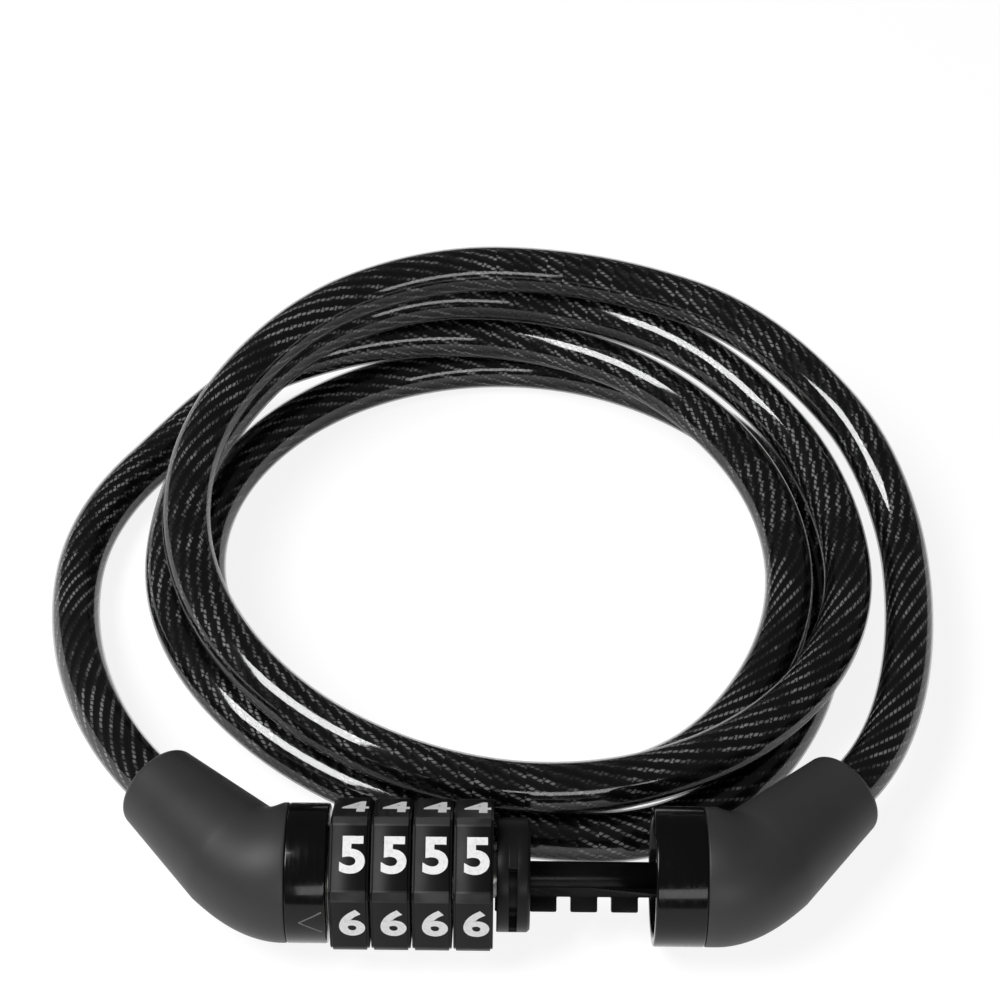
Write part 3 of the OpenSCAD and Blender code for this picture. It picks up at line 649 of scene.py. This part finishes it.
def dial_surface(name, x0, angle):
    """Outlines carried along X: inset at the rims, out past the step, and back through the bore."""
    step, step_w, soft_r = 0.35, 0.45, 0.16
    rim = [(0.0, 0.55), (0.05, 0.4), (0.12, step), (step_w - 0.02, step), (step_w, step - 0.03),
           (step_w + 0.02, soft_r), (step_w + 0.06, 0.06), (step_w + 0.14, 0.0)]
    outside = rim + [(DIAL_W - x, inset) for x, inset in rim[::-1]]
    rows = [hexagon(FACE_R - i, CORNER_R - i, angle, SIDE_ROUND) for _, i in outside]
    bore = hexagon(DIAL_BORE_R, DIAL_BORE_R / math.cos(math.radians(30)) - 0.05, angle, 0.02)
    rows += [bore, bore]
    x = np.array([v for v, _ in outside] + [DIAL_W, 0.0])
    outline = np.stack(rows)
    points = np.concatenate([np.broadcast_to(x0 + x[:, None, None], (*outline.shape[:2], 1)),
                             outline + AXIS[1:]], -1)
    return tube(name, points * MM, joined=True)


dial_pieces = []
for i in range(DIALS):
    dial = dial_surface(f"number_dial_{i + 1}_body", DIAL_X0 + i * PITCH, FACE_ANGLE)
    finish_piece(dial, f"dial_{i + 1}", "dial_black", dial_black, f"number_dial_{i + 1}")
    dial_pieces.append(dial)
print("dial polygons", len(dial_pieces[0].data.polygons))

# %% [markdown]
# ## Digits
#
# Each face carries a printed digit, 1 to 6 going round. Letters are easiest from a text object: it is
# made bold with an offset, turned into a mesh, and its points are then carried onto the face, so the
# finished object stays at the origin.

# %% Digits on the faces
DIGIT_H, DIGIT_W, DIGIT_BOLD = 7.0, 4.75, 0.034
FACE_SHIFT, ALONG_SHIFT = 0.55, 0.6  # from a face's middle, round the dial and along the axis
PRINT_PROUD = 0.015


def digit_mesh(character):
    """Flat outline of a bold digit, as points from -1/2 to 1/2 both ways, and its faces."""
    text = bpy.data.curves.new("digit", "FONT")
    text.body, text.offset, text.resolution_u = character, DIGIT_BOLD, 8
    holder = bpy.data.objects.new("digit", text)
    bpy.context.scene.collection.objects.link(holder)
    mesh = bpy.data.meshes.new_from_object(holder.evaluated_get(bpy.context.evaluated_depsgraph_get()))
    co = np.zeros(len(mesh.vertices) * 3)
    mesh.vertices.foreach_get("co", co)
    polygons = [tuple(p.vertices) for p in mesh.polygons]
    bpy.data.objects.remove(holder)
    bpy.data.curves.remove(text)
    bpy.data.meshes.remove(mesh)
    p = co.reshape(-1, 3)[:, :2]
    low, high = p.min(0), p.max(0)
    return (p - (low + high) / 2) / (high - low), polygons


digit_shapes = {str(n): digit_mesh(str(n)) for n in range(1, 7)}
digit_width = {"1": 0.62, "2": 0.95, "3": 0.97, "4": 1.05, "5": 0.98, "6": 1.0}


def digit_on_face(character, x_middle, angle):
    """Carries a flat digit onto the face whose normal is at the angle: x runs along the axis, and up
    runs round it."""
    flat, polygons = digit_shapes[character]
    a = math.radians(angle)
    normal = np.array([0, -math.cos(a), math.sin(a)])
    upward = np.array([0, math.sin(a), math.cos(a)])
    place = np.array([x_middle, AXIS[1], AXIS[2]])
    place = place + normal * (FACE_R + PRINT_PROUD) + upward * FACE_SHIFT
    points = (place + flat[:, :1] * DIGIT_W * digit_width[character] * np.array([1.0, 0, 0])
              + flat[:, 1:] * DIGIT_H * upward)
    return points, polygons


for i in range(DIALS):
    points, polygons = [], []
    x_middle = DIAL_X0 + i * PITCH + DIAL_W / 2 + ALONG_SHIFT
    for k, character in enumerate("561234"):
        p, f = digit_on_face(character, x_middle, FACE_ANGLE - 60 * k)
        first = sum(len(q) for q in points)
        points.append(p)
        polygons += [tuple(v + first for v in face) for face in f]
    digits = add_object(f"dial_{i + 1}_digits", np.concatenate(points) * MM, polygons, smooth=False)
    finish_piece(digits, f"dial_{i + 1}", "dial_black", digit_paint)
print("digits on each dial", len(digit_shapes))

# %% [markdown]
# ## Nose sleeve
#
# The nose closes the stack of dials. It is turned like the collar, with a narrow window cut into it
# round its front. A Boolean could cut the window, but its edges would need cleaning up, so the
# surface is a grid whose radius dips by a smooth step where the window is.

# %% Nose surface
NOSE_X, NOSE_W, NOSE_R = -0.59, 6.2, 10.6
NOSE_BORE, NOSE_SEAT = 4.64, 7.2
WINDOW = (1.71, 3.21)  # x of its two sides
WINDOW_FROM, WINDOW_TO, WINDOW_DEPTH = 60.0, -30.0, 3.7  # degrees up from the front, and millimetres


def step(value, low, high):
    """0 below low, 1 above high, and a smooth cubic between."""
    t = np.clip((value - low) / (high - low), 0, 1)
    return t * t * (3 - 2 * t)


def nose_surface(columns=720):
    """Radius over (x, angle): the turned profile, less the depth of the window between its two
    angles and its two places along the axis."""
    outer = [(0.0, NOSE_R - 0.2), (0.06, NOSE_R - 0.06), (0.2, NOSE_R)]
    edges = [v - NOSE_X for v in WINDOW]
    for e, way in ((edges[0], 1), (edges[1], -1)):
        outer += [(e - way * 0.12, NOSE_R), (e - way * 0.02, NOSE_R - 0.02),
                  (e + way * 0.01, NOSE_R), (e + way * 0.03, NOSE_R)][::way]
    outer += [(NOSE_W - 0.62, NOSE_R), (NOSE_W - 0.5, NOSE_R - 0.04),
              (NOSE_W - 0.06, NOSE_R - 0.46), (NOSE_W, NOSE_R - 0.6)]
    x = np.array([v for v, _ in outer] + [NOSE_W, NOSE_W, 0.0, 0.0])
    r = np.array([v for _, v in outer] + [NOSE_SEAT, NOSE_BORE, NOSE_BORE, NOSE_SEAT])
    angle = 360 * np.arange(columns) / columns
    past, span = (angle - WINDOW_TO) % 360, WINDOW_FROM - WINDOW_TO
    inside = step(past, 0, 1.5) * (1 - step(past, span - 1.5, span))
    deep = step(x, edges[0] - 0.005, edges[0] + 0.005) * (1 - step(x, edges[1] - 0.005, edges[1] + 0.005))
    deep[len(outer):] = 0
    radius = r[:, None] - WINDOW_DEPTH * deep[:, None] * inside[None, :]
    a = np.radians(angle)[None, :]
    y, z = AXIS[1] - radius * np.cos(a), AXIS[2] + radius * np.sin(a)
    points = np.stack([NOSE_X + x[:, None] + 0 * a, y, z], -1)
    return tube("nose_sleeve_body", points * MM, joined=True)


nose = nose_surface()
finish_piece(nose, "lock_body", "satin_black", satin_black, "nose_sleeve")
print("nose polygons", len(nose.data.polygons))

# %% [markdown]
# ## Lock pin
#
# The pin is a round rod with a fin along it, and the fin carries one tooth for each dial. The rod is a
# turned profile. The fin is a flat plate: its outline, drawn along and out from the axis, is repeated
# across the plate's thickness, pulled in a little at both faces so that its edges are rounded.

# %% Pin surfaces
PIN_R, TIP_ROUND, CONE_R, CONE_L = 2.6, 0.35, 1.7, 0.8
FIN_T, WEB_R, TOOTH_R, FIN_ANGLE, FACE_ROUND = 2.4, 4.0, 6.8, -36.0, 0.2
TIP_X, ROD_END, FIN_END = -1.49, 44.5, 34.91
TEETH = [(-0.89, 3.04), (5.62, 10.62), (13.2, 18.2), (20.78, 25.78)]


def pin_rod(columns=64):
    """A turned rod with a cone and a small round at its tip."""
    t = np.linspace(0, math.pi / 2, 5)
    tip = np.stack([TIP_X + TIP_ROUND * (1 - np.sin(t[::-1])),
                    CONE_R + TIP_ROUND * np.cos(t[::-1]) - TIP_ROUND], -1)
    cone = [[TIP_X + CONE_L, PIN_R - 0.06], [TIP_X + CONE_L + 0.2, PIN_R]]
    profile = np.concatenate([tip, cone, [[ROD_END, PIN_R]]])
    a = np.arange(columns) * 2 * math.pi / columns
    x, r = profile[:, 0][:, None], profile[:, 1][:, None]
    points = np.stack([x + 0 * a, AXIS[1] - r * np.cos(a), AXIS[2] + r * np.sin(a)], -1)
    return tube("pin_rod", points * MM)


def fin_outline():
    """The fin's corners along and out from the axis, going round, each with its rounding."""
    corners, rounding = [(TEETH[0][0], 0.5)], [0.05]
    for k, (a, b) in enumerate(TEETH):
        if k:
            corners += [(a, WEB_R)]
            rounding += [0.25]
        corners += [(a, TOOTH_R), (b, TOOTH_R), (b, WEB_R)]
        rounding += [0.4, 0.4, 0.25]
    corners += [(FIN_END, WEB_R), (FIN_END, 0.5)]
    rounding += [0.1, 0.05]
    return rounded(corners, np.array(rounding), 4)


def inward(outline):
    """Unit directions into a closed outline: the mean of its two neighbouring sides' normals."""
    side = np.roll(outline, -1, 0) - outline
    side /= np.maximum(np.linalg.norm(side, axis=1, keepdims=True), 1e-9)
    both = side + np.roll(side, 1, 0)
    both /= np.maximum(np.linalg.norm(both, axis=1, keepdims=True), 1e-9)
    return np.stack([both[:, 1], -both[:, 0]], -1)


def fin_plate():
    """The outline at eight heights across the plate, moved in by the edge's rounding times
    (1 - cosine) near each face."""
    outline = fin_outline()
    t = np.linspace(0, math.pi / 2, 4)
    half = FIN_T / 2
    inset = FACE_ROUND * (1 - np.cos(t[::-1]))
    height = half - FACE_ROUND + FACE_ROUND * np.sin(t[::-1])
    inset, height = np.concatenate([inset, inset[::-1]]), np.concatenate([height, -height[::-1]])
    flat = outline[None] + inset[:, None, None] * inward(outline)[None]
    a = math.radians(FIN_ANGLE)
    out_way = np.array([0, -math.cos(a), math.sin(a)])
    through = np.cross([1.0, 0, 0], out_way)
    points = (flat[..., :1] * np.array([1.0, 0, 0]) + flat[..., 1:] * out_way
              + height[:, None, None] * through + AXIS)
    rows, columns = len(inset), len(outline)
    quads = grid_faces(rows, columns).tolist()
    caps = [list(range(columns))[::-1], list(range((rows - 1) * columns, rows * columns))]
    return add_object("pin_fin", points.reshape(-1, 3) * MM, quads + caps)


rod = pin_rod()
fin = fin_plate()
finish_piece(rod, "plug", "black_metal", blued, "lock_pin")
finish_piece(fin, "plug", "black_metal", blued)
print("fin polygons", len(fin.data.polygons))

# %% [markdown]
# ## Index mark
#
# A small arrow head on the collar shows where the set numbers line up. It is printed, so it is two thin
# strips laid on the collar: each strip follows a straight line on the unrolled collar and is then
# wrapped onto the ring.


# %% Index mark
def wrapped_strip(start, end, width, count=12):
    """A strip between two points of the unrolled ring (x, height round it), wrapped to the ring's
    radius: the height over the radius is the angle."""
    start, end = np.array(start, float), np.array(end, float)
    t = np.linspace(0, 1, count)[:, None]
    line = start + (end - start) * t
    way = (end - start) / np.linalg.norm(end - start)
    side = np.array([-way[1], way[0]]) * width / 2
    flat = np.stack([line - side, line + side], 1)
    a = flat[..., 1] / HEAD_R
    r = HEAD_R + 0.02
    return np.stack([flat[..., 0], AXIS[1] - r * np.cos(a), AXIS[2] + r * np.sin(a)], -1)


MARK_ANGLE, MARK_TIP, MARK_BACK, MARK_HALF, MARK_LINE = math.radians(9), 4.9, 0.7, 2.5, 0.3
mark_x, mark_up = collar_front, MARK_ANGLE * HEAD_R
mark_lines = [((mark_x - MARK_TIP, mark_up), (mark_x - MARK_BACK, mark_up + side * MARK_HALF))
              for side in (1, -1)]
mark_points, mark_faces = [], []
for a, b in mark_lines:
    strip = wrapped_strip(a, b, MARK_LINE)
    first = sum(len(p) for p in mark_points)
    mark_points.append(strip.reshape(-1, 3))
    mark_faces += [(k, k + 2, k + 3, k + 1) for k in range(first, first + 2 * len(strip) - 2, 2)]
mark_paint = satin("mark_paint", 0.12, 0.22, 0.4)
mark = add_object("index_mark", np.concatenate(mark_points) * MM, mark_faces)
finish_piece(mark, "lock_body", "gloss_black", mark_paint)
print("index mark strips", len(mark_lines))

# %% [markdown]
# ## Floor and light
#
# The lock lies on a white table in a plain studio. One soft panel, up on the left, draws the long
# streaks along the shiny cable, a weak low one in front lights what faces the viewer, and a dim even
# world fills the rest. The floor is plainly white to the camera, in reflections and through clear
# plastic, and keeps most of the object's soft shadow.

# %% Floor
HALF = 8.0  # metres
WHITE_LEVEL, SHADE_LEVEL, TABLE_LEVEL = 0.87, 0.2, 0.8
floor_mesh = bpy.data.meshes.new("table")
floor_corners = [(-HALF, -HALF, 0), (HALF, -HALF, 0), (HALF, HALF, 0), (-HALF, HALF, 0)]
floor_mesh.from_pydata(floor_corners, [], [(0, 1, 2, 3)])
floor = bpy.data.objects.new("table", floor_mesh)
bpy.context.scene.collection.objects.link(floor)
table = Finish("white_table")
path = table.node("ShaderNodeLightPath")
seen = [Value(table, path.socket.node.outputs[n])
        for n in ("Is Camera Ray", "Is Glossy Ray", "Is Transmission Ray")]
clearly = table.math("MINIMUM", seen[0] + seen[1] + seen[2], 1.0)
pale = table.node("ShaderNodeBsdfDiffuse", inputs={"Color": (TABLE_LEVEL,) * 3 + (1,)})
shaded = table.node("ShaderNodeBsdfDiffuse", inputs={"Color": (SHADE_LEVEL,) * 3 + (1,)})
white = table.node("ShaderNodeEmission", inputs={"Color": (1, 1, 1, 1), "Strength": WHITE_LEVEL})
both = table.node("ShaderNodeAddShader", inputs={0: shaded, 1: white})
mixed = table.node("ShaderNodeMixShader", inputs={0: clearly, 1: pale, 2: both})
table.tree.links.new(mixed.socket, table.tree.nodes["Material Output"].inputs["Surface"])
floor_mesh.materials.append(table.material)
print("table", 2 * HALF, "m wide")

# %% Lights
WORLD_LEVEL = 0.08
LIT_PLACE = np.array([0, 0.06, 0.02])
world = bpy.data.worlds.new("studio")
bpy.context.scene.world = world
world.use_nodes = True
background = world.node_tree.nodes["Background"]
background.inputs["Color"].default_value = (1, 1, 1, 1)
background.inputs["Strength"].default_value = WORLD_LEVEL


def panel(name, direction, distance, size, radiance, side_way):
    """A soft rectangular lamp that faces the object, its first side turned as near as it can be to
    side_way. Its power is radiance * area * pi."""
    lamp = bpy.data.lights.new(name, "AREA")
    lamp.shape, lamp.size, lamp.size_y = "RECTANGLE", size[0], size[1]
    lamp.energy = radiance * size[0] * size[1] * math.pi
    obj = bpy.data.objects.new(name, lamp)
    d = np.array(direction, float)
    d /= np.linalg.norm(d)
    along = np.array(side_way, float)
    along -= (along @ d) * d
    along /= np.linalg.norm(along)
    m = np.eye(4)
    m[:3, 0], m[:3, 1], m[:3, 2] = along, np.cross(d, along), d
    m[:3, 3] = LIT_PLACE + d * distance
    obj.matrix_world = Matrix(m.tolist())
    bpy.context.scene.collection.objects.link(obj)
    return obj


key = panel("key_panel", (-0.5, -0.2, 0.85), 1.0, (0.4, 0.5), 14.0, (-0.819, 0.574, 0))
front = panel("front_panel", (0.2, -0.9, 0.4), 1.2, (0.9, 0.3), 4.0, (1, 0.2, 0))
print("lamp powers", round(key.data.energy, 2), round(front.data.energy, 2), "W")
